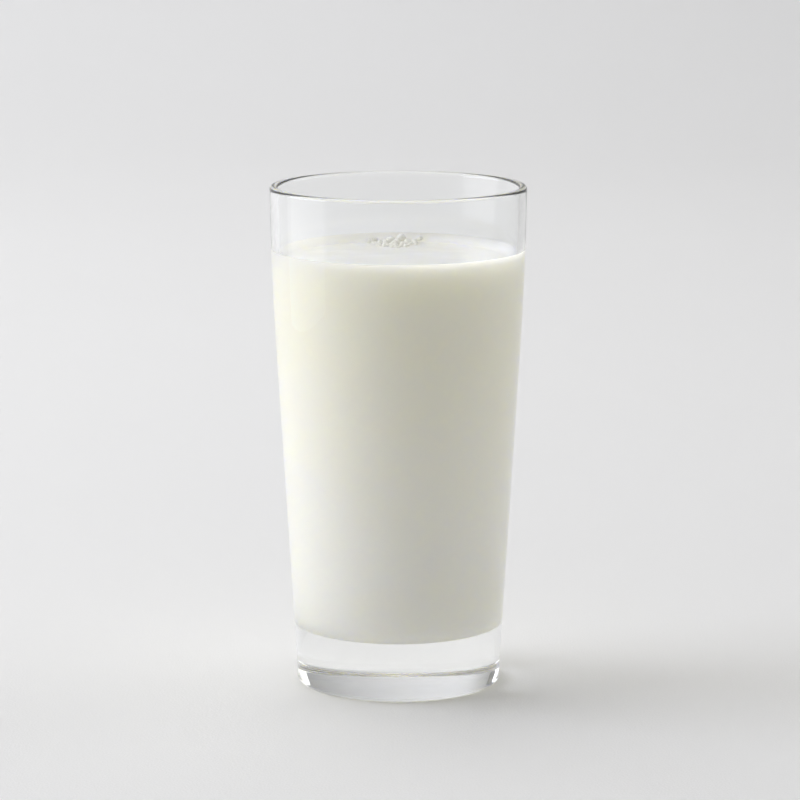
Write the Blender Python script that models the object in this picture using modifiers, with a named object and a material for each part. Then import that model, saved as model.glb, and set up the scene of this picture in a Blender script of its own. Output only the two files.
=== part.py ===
"""A tall tumbler of milk: a clear turned glass and the milk that stands in it.

Metres, +Z up. The glass stands on the origin, its axis is the Z axis, and the
raft of froth bubbles lies on the +Y side of the milk.
"""
import math
import random

import bmesh
import bpy

# Driving dimensions of the glass
HEIGHT = 0.140
RIM_RADIUS = 0.0356
TABLE_RADIUS = 0.0283        # where the straight wall would meet the table
WALL_LEAN = 0.060            # outward lean of the straight wall, a ratio
STRAIGHT_TO = 0.095          # above this the wall eases upright
WALL_AT_RIM = 0.0022
WALL_AT_TABLE = 0.0028
BASE_THICKNESS = 0.016
HEEL_ROUND = 0.0015
INNER_CORNER_ROUND = 0.005
FOOT_RING_INNER = 0.0255
PUNT_RISE = 0.0012

# Driving dimensions of the milk
MILK_LEVEL = 0.1202
MENISCUS_RISE = 0.0022
MENISCUS_WIDTH = 0.0050
CLEARANCE = 0.0003           # between the milk and the glass

# Driving dimensions of the froth
RAFT_CENTRE_X = -0.001
RAFT_HALF_WIDTH = 0.0090
RAFT_DEPTH = 0.0150
BUBBLE_LARGEST = 0.0014
BUBBLE_SMALLEST = 0.0007
BUBBLE_SUNK = 0.30           # how far a bubble's centre lies under the milk, in radii
BUBBLE_CLIMB = 0.4           # how far up the slope beside it a bubble sits, in radii
BUBBLE_CLOSENESS = 0.86      # nearest spacing, in sums of two radii
BUBBLE_TRIES = 2500
BUBBLE_LIMIT = 40

# Fineness of the turned shapes
TURN_STEPS = 64
RIM_STEPS = 6
EASED_WALL_STEPS = 5
ROUND_STEPS = 4
PUNT_STEPS = 4
MENISCUS_STEPS = 7
BUBBLE_SIDES = 7
BUBBLE_RINGS = 4
MERGE_DISTANCE = 0.00001


def clear_scene():
    for old in list(bpy.data.objects):
        bpy.data.objects.remove(old, do_unlink=True)


def new_collection(name):
    collection = bpy.data.collections.new(name)
    bpy.context.scene.collection.children.link(collection)
    return collection


def new_material(name, colour, roughness, transmission=0.0, ior=1.45):
    material = bpy.data.materials.new(name)
    material.use_nodes = True
    shader = material.node_tree.nodes["Principled BSDF"]
    shader.inputs["Base Color"].default_value = (*colour, 1.0)
    shader.inputs["Roughness"].default_value = roughness
    shader.inputs["Metallic"].default_value = 0.0
    shader.inputs["Transmission Weight"].default_value = transmission
    shader.inputs["IOR"].default_value = ior
    return material


def outer_radius(height):
    """Outer radius of the glass: a straight cone that eases upright to the rim."""
    straight = TABLE_RADIUS + WALL_LEAN * height
    if height <= STRAIGHT_TO:
        return straight
    eased_length = HEIGHT - STRAIGHT_TO
    pull_in = TABLE_RADIUS + WALL_LEAN * HEIGHT - RIM_RADIUS
    return straight - pull_in * ((height - STRAIGHT_TO) / eased_length) ** 2


def wall_thickness(height):
    """The wall thins evenly from the table up to the rim."""
    return WALL_AT_RIM + (WALL_AT_TABLE - WALL_AT_RIM) * (1 - height / HEIGHT)


def inner_radius(height):
    return outer_radius(height) - wall_thickness(height)


def milk_radius(height):
    return inner_radius(height) - CLEARANCE


def wall_heights(low, high):
    """Heights for a wall's profile: the straight stretch has only its ends."""
    heights = [low, STRAIGHT_TO]
    for step in range(1, EASED_WALL_STEPS + 1):
        heights.append(STRAIGHT_TO + (high - STRAIGHT_TO) * step / EASED_WALL_STEPS)
    return heights


def bottom_round(radius_at, bottom, rounding):
    """Points of the arc that turns a leaning wall into a flat bottom, downwards."""
    lean = math.atan((radius_at(bottom + rounding) - radius_at(bottom)) / rounding)
    touch_height = bottom + rounding * (1 - math.sin(lean))
    centre_radius = radius_at(touch_height) - rounding * math.cos(lean)
    points = []
    for step in range(ROUND_STEPS + 1):
        angle = lean + (math.pi / 2 - lean) * step / ROUND_STEPS
        radius = centre_radius + rounding * math.cos(angle)
        height = bottom + rounding * (1 - math.sin(angle))
        points.append((radius, height))
    return points


def glass_profile():
    """From the middle of the inside floor, over the rim, to the middle underneath."""
    rim_round = WALL_AT_RIM / 2
    shoulder = HEIGHT - rim_round
    corner = bottom_round(inner_radius, BASE_THICKNESS, INNER_CORNER_ROUND)
    heel = bottom_round(outer_radius, 0.0, HEEL_ROUND)

    points = [(0.0, BASE_THICKNESS)]
    points += reversed(corner)
    for height in wall_heights(corner[0][1], shoulder)[1:]:
        points.append((inner_radius(height), height))

    rim_middle = (inner_radius(shoulder) + outer_radius(shoulder)) / 2
    for step in range(1, RIM_STEPS):
        angle = math.pi * (1 - step / RIM_STEPS)
        points.append((rim_middle + rim_round * math.cos(angle), shoulder + rim_round * math.sin(angle)))

    for height in reversed(wall_heights(heel[0][1], shoulder)[1:]):
        points.append((outer_radius(height), height))
    points += heel

    for step in range(PUNT_STEPS + 1):
        radius = FOOT_RING_INNER * (1 - step / PUNT_STEPS)
        rise = PUNT_RISE * (1 - (radius / FOOT_RING_INNER) ** 2)
        points.append((radius, rise))
    return points


def surface_height(radius):
    """Height of the milk's surface: flat, and drawn up the wall all round."""
    lip_radius = milk_radius(MILK_LEVEL + MENISCUS_RISE)
    along = 1 - (lip_radius - radius) / MENISCUS_WIDTH
    along = min(1.0, max(0.0, along))
    return MILK_LEVEL + MENISCUS_RISE * along ** 3


def milk_profile():
    """From the middle of the milk's surface, down its side, to the middle of its bottom."""
    points = [(0.0, MILK_LEVEL)]
    lip = MILK_LEVEL + MENISCUS_RISE
    lip_radius = milk_radius(lip)
    for step in range(MENISCUS_STEPS + 1):
        radius = lip_radius - MENISCUS_WIDTH * (1 - step / MENISCUS_STEPS)
        points.append((radius, surface_height(radius)))

    corner = bottom_round(milk_radius, BASE_THICKNESS + CLEARANCE, INNER_CORNER_ROUND - CLEARANCE)
    for height in reversed(wall_heights(corner[0][1], lip)[1:-1]):
        points.append((milk_radius(height), height))
    points += corner
    points.append((0.0, BASE_THICKNESS + CLEARANCE))
    return points


def turned_object(name, profile, collection, material):
    """A profile in the XZ plane, turned once round the Z axis."""
    mesh = bpy.data.meshes.new(name)
    vertices = [(radius, 0.0, height) for radius, height in profile]
    edges = [(index, index + 1) for index in range(len(vertices) - 1)]
    mesh.from_pydata(vertices, edges, [])
    mesh.materials.append(material)
    turned = bpy.data.objects.new(name, mesh)
    collection.objects.link(turned)

    screw = turned.modifiers.new("Turn", "SCREW")
    screw.axis = "Z"
    screw.angle = math.tau
    screw.steps = TURN_STEPS
    screw.render_steps = TURN_STEPS
    screw.use_merge_vertices = True
    screw.merge_threshold = MERGE_DISTANCE
    screw.use_smooth_shade = True
    return turned


def bubble_places():
    """Places and radii of the froth: large bubbles at the wall, small ones at the raft's edge.

    The bubbles at the wall are drawn up it with the milk.
    """
    draw = random.Random(5)
    wall = milk_radius(MILK_LEVEL)
    places = []
    for _ in range(BUBBLE_TRIES):
        if len(places) == BUBBLE_LIMIT:
            break
        across = draw.uniform(-1.0, 1.0)
        inward = draw.uniform(0.0, 1.0)
        spread = math.hypot(across, inward)
        if spread > 1.0:
            continue
        radius = BUBBLE_LARGEST + (BUBBLE_SMALLEST - BUBBLE_LARGEST) * spread
        radius *= draw.uniform(0.85, 1.1)
        distance = wall - radius - inward * RAFT_DEPTH
        turn = (RAFT_CENTRE_X + across * RAFT_HALF_WIDTH) / wall
        x = distance * math.sin(turn)
        y = distance * math.cos(turn)
        if all(math.hypot(x - other[0], y - other[1]) > BUBBLE_CLOSENESS * (radius + other[3])
               for other in places):
            z = surface_height(distance + BUBBLE_CLIMB * radius) - BUBBLE_SUNK * radius
            places.append((x, y, z, radius))
    return places


def add_froth(milk, collection):
    """Fuse the bubbles to the milk, so that the milk stays one solid."""
    for number, (x, y, z, radius) in enumerate(bubble_places()):
        mesh = bpy.data.meshes.new("bubble_%02d" % number)
        cage = bmesh.new()
        bmesh.ops.create_uvsphere(cage, u_segments=BUBBLE_SIDES, v_segments=BUBBLE_RINGS, radius=radius)
        cage.to_mesh(mesh)
        cage.free()
        bubble = bpy.data.objects.new(mesh.name, mesh)
        bubble.location = (x, y, z)
        collection.objects.link(bubble)

    union = milk.modifiers.new("Froth", "BOOLEAN")
    union.operation = "UNION"
    union.operand_type = "COLLECTION"
    union.collection = collection
    union.solver = "MANIFOLD"
    bpy.context.view_layer.update()
    graph = bpy.context.evaluated_depsgraph_get()
    fused = bpy.data.meshes.new_from_object(milk.evaluated_get(graph))
    milk.modifiers.clear()
    milk.data = fused
    for bubble in list(collection.objects):
        bpy.data.objects.remove(bubble, do_unlink=True)
    bpy.data.collections.remove(collection)


def smooth(turned, sharp_degrees):
    turned.data.shade_smooth()
    turned.data.set_sharp_from_angle(angle=math.radians(sharp_degrees))


def main():
    clear_scene()
    parts = new_collection("glass_of_milk")
    bubbles = new_collection("froth_bubbles")

    clear_glass = new_material("clear_glass", (0.97, 0.985, 0.975), 0.02, transmission=1.0, ior=1.5)
    whole_milk = new_material("whole_milk", (0.90, 0.89, 0.83), 0.22)

    turned_object("glass", glass_profile(), parts, clear_glass)
    milk = turned_object("milk", milk_profile(), parts, whole_milk)
    add_froth(milk, bubbles)
    smooth(milk, 40.0)


main()
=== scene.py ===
"""The looks of the glass of milk: fine glass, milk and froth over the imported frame.

Metres, +Z up, in the frame's own place. The photo looks along +Y.
"""

import math
import random

import bpy
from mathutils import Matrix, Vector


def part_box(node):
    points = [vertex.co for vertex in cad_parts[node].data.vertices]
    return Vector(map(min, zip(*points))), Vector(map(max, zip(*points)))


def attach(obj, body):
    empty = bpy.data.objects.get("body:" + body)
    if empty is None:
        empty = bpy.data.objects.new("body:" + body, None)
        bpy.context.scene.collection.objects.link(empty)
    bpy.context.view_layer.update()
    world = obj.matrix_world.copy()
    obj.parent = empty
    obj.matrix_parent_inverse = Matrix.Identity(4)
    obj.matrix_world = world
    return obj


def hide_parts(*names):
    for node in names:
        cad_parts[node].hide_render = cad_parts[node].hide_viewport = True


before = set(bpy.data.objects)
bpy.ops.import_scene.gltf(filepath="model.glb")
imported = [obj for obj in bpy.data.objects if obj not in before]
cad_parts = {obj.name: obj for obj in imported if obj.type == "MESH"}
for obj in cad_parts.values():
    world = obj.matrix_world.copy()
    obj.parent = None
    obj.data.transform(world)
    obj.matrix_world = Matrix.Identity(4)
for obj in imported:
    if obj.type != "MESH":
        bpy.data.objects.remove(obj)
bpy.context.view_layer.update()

# The glass, in the frame's own sizes
GLASS_LOW, GLASS_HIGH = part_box("glass")
HEIGHT = GLASS_HIGH.z - GLASS_LOW.z
RIM_RADIUS = 0.0356
TABLE_RADIUS = 0.0283        # where the straight wall would meet the table
WALL_LEAN = 0.060            # outward lean of the straight wall, a ratio
STRAIGHT_TO = 0.095          # above this the wall eases upright
WALL_AT_RIM = 0.0022
WALL_AT_TABLE = 0.0028
BASE_THICKNESS = 0.016
HEEL_ROUND = 0.0015
INNER_CORNER_ROUND = 0.005
FOOT_RING_INNER = 0.0255
PUNT_RISE = 0.0012

# The milk
MILK_LEVEL = 0.1202
MENISCUS_RISE = 0.0022
MENISCUS_WIDTH = 0.0050
BITE = 0.00012               # how far the milk reaches into the glass, so that no air gap shows
CAD_CLEARANCE = 0.0003       # between the frame's milk and its glass
SURFACE_RINGS = (0.75, 0.5, 0.25)    # rings on the flat surface, in shares of its radius

# The froth
RAFT_CENTRE_X = -0.001
RAFT_HALF_WIDTH = 0.0090
RAFT_DEPTH = 0.0150
BUBBLE_LARGEST = 0.0014
BUBBLE_SMALLEST = 0.0007
BUBBLE_SUNK = 0.30           # how far a bubble's centre lies under the milk, in radii
BUBBLE_CLIMB = 0.4           # how far up the slope beside it a bubble sits, in radii
BUBBLE_CLOSENESS = 0.86      # nearest spacing, in sums of two radii
BUBBLE_TRIES = 2500
BUBBLE_LIMIT = 40
BUBBLE_SKIRT = 1.25          # the foot of a bubble spreads into the milk by this share
BUBBLE_SKIRT_DROP = 0.00012

# Fineness of the pieces
TURN_SIDES = 360
POLE = 0.0006
SUPPORT = 0.0003             # support rings stand this far from where a curve meets a flat
RIM_STEPS = 18
ROUND_STEPS = 14
WALL_STEP = 0.004
MENISCUS_STEPS = 14
PUNT_STEPS = 16
BUBBLE_SUBDIVISIONS = 3
SHARP_DEGREES = 50

# Glass finish
GLASS_TINTED = (0.985, 0.992, 0.988)
GLASS_CLEAREST = (0.991, 0.996, 0.993)
GLASS_IOR = 1.5
TINT_SCALE = 26.0            # these scales are counted in waves a metre
WIPE_SCALE = 70.0
WIPE_ROUGHNESS = 0.012
RIM_SOFT_BELOW = 0.0014
RIM_ROUGHNESS = 0.32
WALL_WAVE = 0.00001
WALL_WAVE_SCALE = 34.0

# Milk finish
MILK_CREAM = (0.995, 0.970, 0.852)
# Painted light: the milk is painted lighter towards the base, standing in for light bounced up from the
# floor, and creamiest at its level. MILK_PALE is also the lighter tone of its random mottle.
MILK_PALE = (0.997, 0.985, 0.912)
MILK_BOUNCE_LIGHT_BELOW = 0.03       # the milk is palest from here down, and creamiest at its level
MILK_PAINTED_BOUNCE_LIGHT = 0.85
MILK_IOR = 1.35
MILK_LIGHT_REACH = (1.0, 0.95, 0.65)   # how far each colour of light wanders in the milk
MILK_GLOW = 0.007
MOTTLE = 0.25
MOTTLE_SCALE = 48.0
SURFACE_MOTTLE_SCALE = 90.0
SURFACE_GLOSS = (0.09, 0.17)
SURFACE_GLOSS_SCALE = 120.0
SURFACE_RIPPLE = 0.00004
SURFACE_RIPPLE_SCALE = 60.0
SURFACE_FACES_UP = 0.3       # a face of the free surface has a normal at least this steep

# Froth finish
FROTH_TOP = (0.97, 0.965, 0.93)
# painted shade: the froth's foot colour is darker, for the shade where bubbles meet the milk and each
# other
FROTH_SHADED_FOOT = (0.93, 0.92, 0.85)
FILM_GLOSS = (0.05, 0.2)
FILM_GLOSS_SCALE = 900.0
FILM_RIPPLE = 0.00004
FILM_RIPPLE_SCALE = 1500.0

# Stage
PAPER = (0.80, 0.80, 0.80)
PAPER_DARKER = (0.797, 0.797, 0.797)
PAPER_LIGHTER = (0.803, 0.803, 0.803)
PAPER_SHADE_SCALE = 3.0
PAPER_TOOTH = 0.00003
PAPER_TOOTH_SCALE = 1400.0
FLOOR_WIDTH = 6.0
FLOOR_DEPTH = 5.0
FLOOR_CENTRE_Y = -0.3
FLOOR_DROP = 0.0001          # the paper lies this far under the glass, so that no faces coincide
BACKDROP_HEIGHT = 3.0
SWEEP_WIDTH = 0.9
SWEEP_SEGMENTS = 24
FAR_FLOOR_SIZE = 24.0
FAR_FLOOR_DROP = 0.004

# Camera and frame
CAMERA_DISTANCE = 1.031
CAMERA_HEIGHT = 0.2628
CAMERA_SIDE = 0.00047
CAMERA_PITCH_DEGREES = 10.07
FOCAL_PIXELS = 3755.0
FRAME_PIXELS = 800.0
SENSOR_WIDTH = 36.0

# Lamps: name, place, the point that it faces, width and height, power in watts, colour
COOL = (0.975, 1.0, 1.10)
PLAIN = (1, 1, 1)
WARM = (1.03, 1.0, 0.94)
LAMPS = [
    ("window_left", (-2.0, 0.03, 0.80), (0, 0.03, 0.80), (1.75, 1.4), 28, COOL),
    ("window_foot", (-0.47, 0.01, 0.06), (0, 0.01, 0.06), (0.40, 0.12), 0.08, PLAIN),
    ("ceiling_left", (-1.2, 1.0, 2.2), (-1.0, 1.0, 0), (2.0, 3.0), 22.5, PLAIN),
    ("ceiling", (-0.1, 0.7, 2.4), (-0.1, 0.7, 0), (4.4, 4.0), 8.3, WARM),
    ("ceiling_near", (-0.3, 0.35, 1.5), (-0.3, 0.35, 0), (1.2, 1.2), 3.8, WARM),
]

# Room light: direction, sharpness and strength of each bright side. Sharpness 0 is even all round.
ROOM_LOBES = [
    ((-0.8, -0.8, 0.6), 3, 0.12),
    ((1, 0.6, 0.1), 3, 1.48),
    ((0, 0, 1), 0, 0.212),
]


def deselect_all():
    bpy.ops.object.select_all(action="DESELECT")


def enter_edit():
    bpy.ops.object.mode_set(mode="EDIT")


def leave_edit():
    bpy.ops.object.mode_set(mode="OBJECT")


def settle_at_origin():
    """Put a piece's place, turn and size into its mesh."""
    bpy.ops.object.transform_apply(location=True, rotation=True, scale=True)


def outer_radius(height):
    """Outer radius of the glass: a straight cone that eases upright to the rim."""
    straight = TABLE_RADIUS + WALL_LEAN * height
    if height <= STRAIGHT_TO:
        return straight
    pull_in = TABLE_RADIUS + WALL_LEAN * HEIGHT - RIM_RADIUS
    return straight - pull_in * ((height - STRAIGHT_TO) / (HEIGHT - STRAIGHT_TO)) ** 2


def inner_radius(height):
    """The wall thins evenly from the table up to the rim."""
    wall = WALL_AT_RIM + (WALL_AT_TABLE - WALL_AT_RIM) * (1 - height / HEIGHT)
    return outer_radius(height) - wall


def milk_radius(height):
    return inner_radius(height) + BITE


def surface_height(radius, lip_radius):
    """Height of the milk's surface: flat, and drawn up the wall all round."""
    along = 1 - (lip_radius - radius) / MENISCUS_WIDTH
    along = min(1.0, max(0.0, along))
    return MILK_LEVEL + MENISCUS_RISE * along ** 3


def wall_heights(low, high):
    """Ring heights up a wall, with a support ring close to each end."""
    count = max(2, round((high - low) / WALL_STEP))
    heights = [low + SUPPORT]
    for step in range(1, count):
        heights.append(low + (high - low) * step / count)
    heights.append(high - SUPPORT)
    return heights


def bottom_round(radius_at, bottom, rounding):
    """Points of the arc between a flat bottom and a leaning wall, upwards."""
    lean = math.atan((radius_at(bottom + rounding) - radius_at(bottom)) / rounding)
    touch_height = bottom + rounding * (1 - math.sin(lean))
    centre_radius = radius_at(touch_height) - rounding * math.cos(lean)
    points = []
    for step in range(ROUND_STEPS + 1):
        angle = math.pi / 2 + (lean - math.pi / 2) * step / ROUND_STEPS
        radius = centre_radius + rounding * math.cos(angle)
        points.append((radius, bottom + rounding * (1 - math.sin(angle))))
    return points


def turned_piece(name, outline):
    """Model a turned piece: a disc is extruded and resized from ring to ring of its outline."""
    deselect_all()
    radius, height = outline[0]
    bpy.ops.mesh.primitive_circle_add(
        vertices=TURN_SIDES, radius=radius, fill_type="TRIFAN", location=(0, 0, height))
    piece = bpy.context.object
    piece.name = name
    piece.data.name = name
    enter_edit()
    bpy.ops.mesh.select_all(action="SELECT")
    for next_radius, next_height in outline[1:]:
        bpy.ops.mesh.extrude_region_move(
            TRANSFORM_OT_translate={"value": (0, 0, next_height - height)})
        grow = next_radius / radius
        bpy.ops.transform.resize(value=(grow, grow, 1), center_override=(0, 0, next_height))
        radius, height = next_radius, next_height
    bpy.ops.mesh.select_all(action="SELECT")
    bpy.ops.mesh.normals_make_consistent(inside=False)
    leave_edit()
    settle_at_origin()
    return piece


def tumbler_outline():
    """From the middle of the underside, out and up the outer wall, over the rim and down inside."""
    rim_round = WALL_AT_RIM / 2
    shoulder = HEIGHT - rim_round
    heel = bottom_round(outer_radius, 0.0, HEEL_ROUND)
    corner = bottom_round(inner_radius, BASE_THICKNESS, INNER_CORNER_ROUND)

    points = []
    for step in range(PUNT_STEPS + 1):
        radius = POLE + (FOOT_RING_INNER - POLE) * step / PUNT_STEPS
        points.append((radius, PUNT_RISE * (1 - (radius / FOOT_RING_INNER) ** 2)))
    points.append((FOOT_RING_INNER + SUPPORT, 0.0))
    points.append((heel[0][0] - SUPPORT, 0.0))
    points += heel
    for height in wall_heights(heel[-1][1], shoulder):
        points.append((outer_radius(height), height))

    rim_middle = (inner_radius(shoulder) + outer_radius(shoulder)) / 2
    for step in range(RIM_STEPS + 1):
        angle = math.pi * step / RIM_STEPS
        points.append((rim_middle + rim_round * math.cos(angle), shoulder + rim_round * math.sin(angle)))

    for height in reversed(wall_heights(corner[-1][1], shoulder)):
        points.append((inner_radius(height), height))
    points += reversed(corner)
    points.append((corner[0][0] - SUPPORT, BASE_THICKNESS))
    points.append((POLE, BASE_THICKNESS))
    return points


def milk_outline():
    """From the middle of the milk's bottom, up its side in the wall, and in over its surface."""
    bottom = BASE_THICKNESS - BITE
    lip = MILK_LEVEL + MENISCUS_RISE
    lip_radius = inner_radius(lip)
    corner = bottom_round(milk_radius, bottom, INNER_CORNER_ROUND + BITE)
    points = [(POLE, bottom), (corner[0][0] - SUPPORT, bottom)]
    points += corner
    for height in wall_heights(corner[-1][1], lip):
        points.append((milk_radius(height), height))
    points.append((milk_radius(lip), lip))
    for step in range(MENISCUS_STEPS + 1):
        radius = lip_radius - MENISCUS_WIDTH * step / MENISCUS_STEPS
        points.append((radius, surface_height(radius, lip_radius)))
    points.append((lip_radius - MENISCUS_WIDTH - SUPPORT, MILK_LEVEL))
    for share in SURFACE_RINGS:
        points.append((lip_radius * share, MILK_LEVEL))
    points.append((POLE, MILK_LEVEL))
    return points


def new_group(name, numbers):
    """A shader group that takes a place and some numbers and puts out one value."""
    group = bpy.data.node_groups.new(name, "ShaderNodeTree")
    group.interface.new_socket("Place", in_out="INPUT", socket_type="NodeSocketVector")
    for label in numbers:
        group.interface.new_socket(label, in_out="INPUT", socket_type="NodeSocketFloat")
    group.interface.new_socket("Value", in_out="OUTPUT", socket_type="NodeSocketFloat")
    inside = group.nodes.new("NodeGroupInput")
    outside = group.nodes.new("NodeGroupOutput")
    ramp = group.nodes.new("ShaderNodeMapRange")
    ramp.interpolation_type = "SMOOTHSTEP"
    group.links.new(inside.outputs["Low"], ramp.inputs["To Min"])
    group.links.new(inside.outputs["High"], ramp.inputs["To Max"])
    group.links.new(ramp.outputs["Result"], outside.inputs["Value"])
    return group, inside, ramp


def make_surface_drift():
    """A value that wanders over a surface between Low and High."""
    group, inside, ramp = new_group("surface_drift", ("Scale", "Low", "High"))
    noise = group.nodes.new("ShaderNodeTexNoise")
    noise.inputs["Detail"].default_value = 3.0
    noise.inputs["Roughness"].default_value = 0.5
    group.links.new(inside.outputs["Place"], noise.inputs["Vector"])
    group.links.new(inside.outputs["Scale"], noise.inputs["Scale"])
    group.links.new(noise.outputs["Fac"], ramp.inputs["Value"])
    ramp.inputs["From Min"].default_value = 0.3
    ramp.inputs["From Max"].default_value = 0.7
    return group


def make_height_band():
    """A value that goes from Low to High as the height goes from Start to End."""
    group, inside, ramp = new_group("height_band", ("Start", "End", "Low", "High"))
    split = group.nodes.new("ShaderNodeSeparateXYZ")
    group.links.new(inside.outputs["Place"], split.inputs["Vector"])
    group.links.new(split.outputs["Z"], ramp.inputs["Value"])
    group.links.new(inside.outputs["Start"], ramp.inputs["From Min"])
    group.links.new(inside.outputs["End"], ramp.inputs["From Max"])
    return group


class Finish:
    """A Principled material with the helpers that its pattern is built from."""

    def __init__(self, name, colour, roughness):
        self.material = bpy.data.materials.new(name)
        self.material.use_nodes = True
        self.nodes = self.material.node_tree.nodes
        self.links = self.material.node_tree.links
        self.shader = self.nodes["Principled BSDF"]
        self.place = self.nodes.new("ShaderNodeTexCoord").outputs["Object"]
        self.set("Base Color", (*colour, 1.0))
        self.set("Roughness", roughness)

    def set(self, socket, value):
        self.shader.inputs[socket].default_value = value

    def feed(self, value, socket):
        self.links.new(value, self.shader.inputs[socket])

    def group_value(self, group, **numbers):
        node = self.nodes.new("ShaderNodeGroup")
        node.node_tree = group
        self.links.new(self.place, node.inputs["Place"])
        for label, number in numbers.items():
            node.inputs[label].default_value = number
        return node.outputs["Value"]

    def drift(self, scale, low=0.0, high=1.0):
        return self.group_value(SURFACE_DRIFT, Scale=scale, Low=low, High=high)

    def band(self, start, end, low, high):
        return self.group_value(HEIGHT_BAND, Start=start, End=end, Low=low, High=high)

    def blend(self, share, first, second):
        """A colour between two, each a plain colour or another node's output."""
        mix = self.nodes.new("ShaderNodeMix")
        mix.data_type = "RGBA"
        self.links.new(share, mix.inputs["Factor"])
        for socket, colour in ((mix.inputs[6], first), (mix.inputs[7], second)):
            if isinstance(colour, tuple):
                socket.default_value = (*colour, 1.0)
            else:
                self.links.new(colour, socket)
        return mix.outputs[2]

    def sum(self, first, second):
        node = self.nodes.new("ShaderNodeMath")
        node.operation = "ADD"
        self.links.new(first, node.inputs[0])
        self.links.new(second, node.inputs[1])
        return node.outputs["Value"]

    def bump(self, height, distance):
        node = self.nodes.new("ShaderNodeBump")
        node.inputs["Distance"].default_value = distance
        node.inputs["Strength"].default_value = 1.0
        self.links.new(height, node.inputs["Height"])
        self.feed(node.outputs["Normal"], "Normal")


def glass_material():
    """Pressed and fire-polished glass: hardly wavy, with faint wiping marks and a softened rim."""
    finish = Finish("polished_glass", GLASS_TINTED, 0.0)
    finish.set("Transmission Weight", 1.0)
    finish.set("IOR", GLASS_IOR)
    finish.feed(finish.blend(finish.drift(TINT_SCALE), GLASS_TINTED, GLASS_CLEAREST), "Base Color")
    wiped = finish.drift(WIPE_SCALE, high=WIPE_ROUGHNESS)
    rim = finish.band(HEIGHT - RIM_SOFT_BELOW, HEIGHT, 0.0, RIM_ROUGHNESS)
    finish.feed(finish.sum(wiped, rim), "Roughness")
    finish.bump(finish.drift(WALL_WAVE_SCALE), WALL_WAVE)
    return finish.material


def milk_finish(name, roughness, specular):
    """Milk lets light in, spreads it and turns it creamy."""
    finish = Finish(name, MILK_CREAM, roughness)
    finish.shader.subsurface_method = "RANDOM_WALK"
    finish.set("Subsurface Weight", 1.0)
    finish.set("Subsurface Radius", MILK_LIGHT_REACH)
    finish.set("Subsurface Scale", MILK_GLOW)
    finish.set("IOR", MILK_IOR)
    finish.set("Specular IOR Level", specular)
    return finish


def milk_behind_glass_material():
    """Milk pressed against the wall: no gloss of its own, hardly mottled, with painted light that makes
    it lighter towards the base, standing in for the floor's bounce light.
    """
    finish = milk_finish("milk_behind_glass", 0.5, 0.0)
    mottle = finish.drift(MOTTLE_SCALE, high=MOTTLE)
    # painted light: a height band makes the milk lighter towards the base and creamiest at its level,
    # standing in for light bounced up from the floor
    painted_bounce_light = finish.band(MILK_BOUNCE_LIGHT_BELOW, MILK_LEVEL, MILK_PAINTED_BOUNCE_LIGHT, 0.0)
    finish.feed(finish.blend(finish.sum(mottle, painted_bounce_light), MILK_CREAM, MILK_PALE), "Base Color")
    return finish.material


def milk_surface_material():
    """The free surface: a wet gloss with slow ripples, and painted shade that makes it creamier and
    darker where it climbs the wall.
    """
    finish = milk_finish("milk_surface", 0.12, 0.5)
    calm = finish.blend(finish.drift(SURFACE_MOTTLE_SCALE), MILK_CREAM, MILK_PALE)
    # painted shade: the meniscus is tinted creamier and darker, standing in for the shade where the
    # surface climbs the wall
    painted_meniscus_shade = finish.band(MILK_LEVEL, MILK_LEVEL + MENISCUS_RISE, 0.0, 1.0)
    finish.feed(finish.blend(painted_meniscus_shade, calm, MILK_CREAM), "Base Color")
    finish.feed(finish.drift(SURFACE_GLOSS_SCALE, *SURFACE_GLOSS), "Roughness")
    finish.bump(finish.drift(SURFACE_RIPPLE_SCALE), SURFACE_RIPPLE)
    return finish.material


def froth_material():
    """Thin milky bubble skins, glossy, with painted shade that makes them darker and creamier at their
    feet.
    """
    finish = Finish("froth_film", FROTH_TOP, 0.08)
    finish.set("Specular IOR Level", 0.5)
    # painted shade: the bubbles darken towards their feet, where they crowd together and meet the milk
    foot = finish.band(MILK_LEVEL, MILK_LEVEL + MENISCUS_RISE, 1.0, 0.0)
    finish.feed(finish.blend(foot, FROTH_TOP, FROTH_SHADED_FOOT), "Base Color")
    finish.feed(finish.drift(FILM_GLOSS_SCALE, *FILM_GLOSS), "Roughness")
    finish.bump(finish.drift(FILM_RIPPLE_SCALE), FILM_RIPPLE)
    return finish.material


def paper_material():
    """Pale matt studio paper with a fine tooth."""
    finish = Finish("studio_paper", PAPER, 0.75)
    finish.set("Specular IOR Level", 0.2)
    finish.feed(finish.blend(finish.drift(PAPER_SHADE_SCALE), PAPER_DARKER, PAPER_LIGHTER), "Base Color")
    finish.bump(finish.drift(PAPER_TOOTH_SCALE), PAPER_TOOTH)
    return finish.material


def add_tumbler():
    tumbler = turned_piece("tumbler", tumbler_outline())
    tumbler.data.materials.append(glass_material())
    bpy.ops.object.shade_smooth()
    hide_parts("glass")
    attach(tumbler, "root")


def add_milk():
    """The milk, whose free surface has a finish of its own."""
    milk = turned_piece("milk_body", milk_outline())
    milk.data.materials.append(milk_behind_glass_material())
    milk.data.materials.append(milk_surface_material())
    for face in milk.data.polygons:
        over = face.center.z > MILK_LEVEL - SUPPORT and face.normal.z > SURFACE_FACES_UP
        face.material_index = 1 if over else 0
    bpy.ops.object.shade_smooth_by_angle(angle=math.radians(SHARP_DEGREES))
    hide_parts("milk")
    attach(milk, "root")


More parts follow.
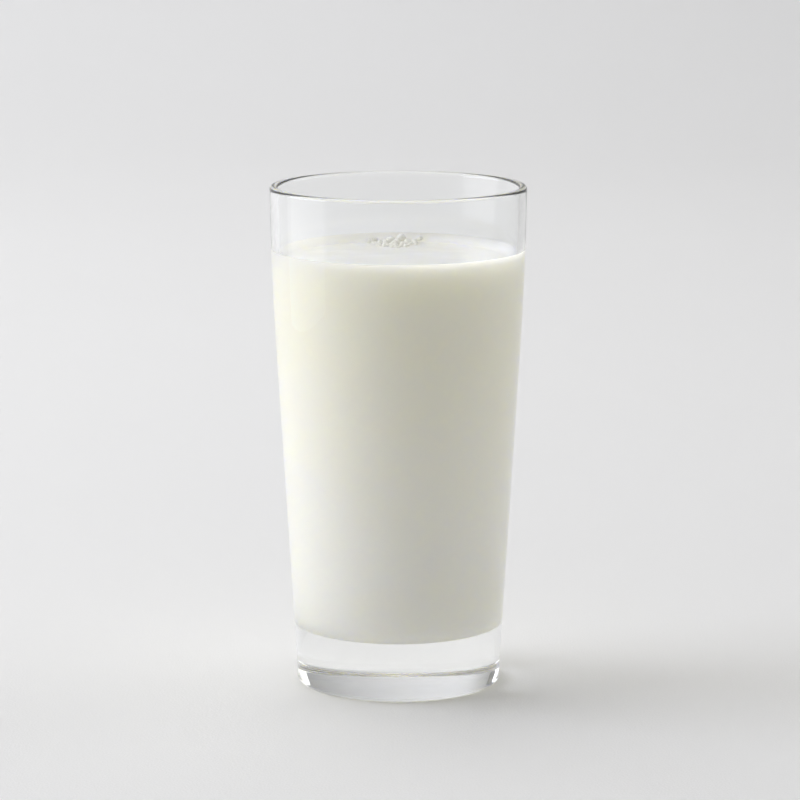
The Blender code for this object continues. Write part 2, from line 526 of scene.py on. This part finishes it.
def bubble_places():
    """Places and radii of the froth: large bubbles at the wall, small ones at the raft's edge.

    The last number is the height where the bubble meets the milk on its inner side.
    """
    draw = random.Random(5)
    wall = inner_radius(MILK_LEVEL) - CAD_CLEARANCE
    lip_radius = inner_radius(MILK_LEVEL + MENISCUS_RISE) - CAD_CLEARANCE
    places = []
    for _ in range(BUBBLE_TRIES):
        if len(places) == BUBBLE_LIMIT:
            break
        across = draw.uniform(-1.0, 1.0)
        inward = draw.uniform(0.0, 1.0)
        spread = math.hypot(across, inward)
        if spread > 1.0:
            continue
        radius = BUBBLE_LARGEST + (BUBBLE_SMALLEST - BUBBLE_LARGEST) * spread
        radius *= draw.uniform(0.85, 1.1)
        distance = wall - radius - inward * RAFT_DEPTH
        turn = (RAFT_CENTRE_X + across * RAFT_HALF_WIDTH) / wall
        x = distance * math.sin(turn)
        y = distance * math.cos(turn)
        if all(math.hypot(x - other[0], y - other[1]) > BUBBLE_CLOSENESS * (radius + other[3])
               for other in places):
            z = surface_height(distance + BUBBLE_CLIMB * radius, lip_radius) - BUBBLE_SUNK * radius
            foot = surface_height(distance - radius, lip_radius)
            places.append((x, y, z, radius, foot))
    return places


def add_bubble(x, y, z, radius, foot):
    """One bubble: a ball cut at the milk, whose foot spreads a little into it."""
    deselect_all()
    bpy.ops.mesh.primitive_ico_sphere_add(
        subdivisions=BUBBLE_SUBDIVISIONS, radius=radius, location=(x, y, z))
    bubble = bpy.context.object
    enter_edit()
    bpy.ops.mesh.select_all(action="SELECT")
    bpy.ops.mesh.bisect(plane_co=(x, y, foot), plane_no=(0, 0, 1), use_fill=False, clear_inner=True)
    bpy.ops.mesh.select_all(action="DESELECT")
    bpy.ops.mesh.select_non_manifold()
    bpy.ops.mesh.extrude_edges_move(TRANSFORM_OT_translate={"value": (0, 0, -BUBBLE_SKIRT_DROP)})
    bpy.ops.transform.resize(value=(BUBBLE_SKIRT, BUBBLE_SKIRT, 1), center_override=(x, y, foot))
    bpy.ops.mesh.edge_face_add()
    bpy.ops.mesh.select_all(action="SELECT")
    bpy.ops.mesh.normals_make_consistent(inside=False)
    leave_edit()
    return bubble


def add_froth():
    """The raft of bubbles at the back wall, as one piece."""
    bubbles = [add_bubble(*place) for place in bubble_places()]
    deselect_all()
    for bubble in bubbles:
        bubble.select_set(True)
    bpy.context.view_layer.objects.active = bubbles[0]
    bpy.ops.object.join()
    froth = bpy.context.object
    froth.name = "froth"
    froth.data.name = "froth"
    settle_at_origin()
    froth.data.materials.append(froth_material())
    bpy.ops.object.shade_smooth_by_angle(angle=math.radians(SHARP_DEGREES))
    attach(froth, "root")


def add_sweep(paper):
    """A plain pale floor that sweeps up into a backdrop."""
    deselect_all()
    bpy.ops.mesh.primitive_plane_add(size=1, location=(0, 0, -FLOOR_DROP))
    sweep = bpy.context.object
    sweep.name = "studio_sweep"
    enter_edit()
    bpy.ops.mesh.select_all(action="SELECT")
    bpy.ops.transform.resize(value=(FLOOR_WIDTH, FLOOR_DEPTH, 1))
    bpy.ops.transform.translate(value=(0, FLOOR_CENTRE_Y, 0))
    leave_edit()
    for vertex in sweep.data.vertices:
        vertex.select = vertex.co.y > 0
    for edge in sweep.data.edges:
        edge.select = all(sweep.data.vertices[end].select for end in edge.vertices)
    for face in sweep.data.polygons:
        face.select = False
    enter_edit()
    bpy.ops.mesh.extrude_region_move(TRANSFORM_OT_translate={"value": (0, 0, BACKDROP_HEIGHT)})
    leave_edit()
    bend = sweep.modifiers.new("Sweep", "BEVEL")
    bend.width = SWEEP_WIDTH
    bend.segments = SWEEP_SEGMENTS
    bpy.ops.object.modifier_apply(modifier="Sweep")
    bpy.ops.object.shade_smooth()
    settle_at_origin()
    sweep.data.materials.append(paper)


def add_far_floor(paper):
    """The floor goes on past the sweep's edges, for low views from the side."""
    deselect_all()
    bpy.ops.mesh.primitive_plane_add(size=FAR_FLOOR_SIZE, location=(0, 0, -FAR_FLOOR_DROP))
    far_floor = bpy.context.object
    far_floor.name = "studio_far_floor"
    settle_at_origin()
    far_floor.data.materials.append(paper)


def add_lamp(name, place, target, size, power, colour):
    """A soft card of light that the camera doesn't see."""
    card = bpy.data.lights.new(name, "AREA")
    card.shape = "RECTANGLE"
    card.size, card.size_y = size
    card.energy = power
    card.color = colour
    lamp = bpy.data.objects.new(name, card)
    bpy.context.scene.collection.objects.link(lamp)
    lamp.location = place
    lamp.visible_camera = False
    away = [target[i] - place[i] for i in range(3)]
    flat = math.hypot(away[0], away[1])
    lamp.rotation_euler = (math.atan2(flat, -away[2]), 0, math.atan2(-away[0], away[1]))


def add_room_light():
    """Soft light from all round: each lobe is a direction that the room is brighter in."""
    room = bpy.data.worlds.new("studio_room")
    bpy.context.scene.world = room
    room.use_nodes = True
    nodes = room.node_tree.nodes
    links = room.node_tree.links
    background = nodes["Background"]
    background.inputs["Color"].default_value = (1, 1, 1, 1)
    place = nodes.new("ShaderNodeTexCoord")
    total = None
    for toward, sharpness, strength in ROOM_LOBES:
        lean = nodes.new("ShaderNodeVectorMath")
        lean.operation = "DOT_PRODUCT"
        length = math.hypot(*toward)
        lean.inputs[1].default_value = tuple(value / length for value in toward)
        links.new(place.outputs["Generated"], lean.inputs[0])
        clipped = nodes.new("ShaderNodeMath")
        clipped.operation = "MAXIMUM"
        clipped.inputs[1].default_value = 0.0
        links.new(lean.outputs["Value"], clipped.inputs[0])
        raised = nodes.new("ShaderNodeMath")
        raised.operation = "POWER"
        raised.inputs[1].default_value = sharpness
        links.new(clipped.outputs["Value"], raised.inputs[0])
        summed = nodes.new("ShaderNodeMath")
        summed.operation = "MULTIPLY_ADD"
        summed.inputs[1].default_value = strength
        summed.inputs[2].default_value = 0.0
        links.new(raised.outputs["Value"], summed.inputs[0])
        if total is not None:
            links.new(total.outputs["Value"], summed.inputs[2])
        total = summed
    links.new(total.outputs["Value"], background.inputs["Strength"])


def add_camera():
    camera = bpy.data.cameras.new("camera")
    camera.sensor_width = SENSOR_WIDTH
    camera.lens = FOCAL_PIXELS / FRAME_PIXELS * SENSOR_WIDTH
    camera.clip_start = 0.05
    camera.clip_end = 20.0
    holder = bpy.data.objects.new("camera", camera)
    bpy.context.scene.collection.objects.link(holder)
    holder.location = (CAMERA_SIDE, -CAMERA_DISTANCE, CAMERA_HEIGHT)
    holder.rotation_euler = (math.radians(90 - CAMERA_PITCH_DEGREES), 0, 0)
    bpy.context.scene.camera = holder


def set_light_paths():
    """Light has to pass many walls of glass, and wander in the milk."""
    cycles = bpy.context.scene.cycles
    cycles.max_bounces = 24
    cycles.transmission_bounces = 20
    cycles.glossy_bounces = 8
    cycles.diffuse_bounces = 10
    cycles.blur_glossy = 0.0
    bpy.context.scene.view_settings.view_transform = "Standard"


SURFACE_DRIFT = make_surface_drift()
HEIGHT_BAND = make_height_band()
STUDIO_PAPER = paper_material()

add_tumbler()
add_milk()
add_froth()
add_sweep(STUDIO_PAPER)
add_far_floor(STUDIO_PAPER)
for lamp in LAMPS:
    add_lamp(*lamp)
add_room_light()
add_camera()
set_light_paths()
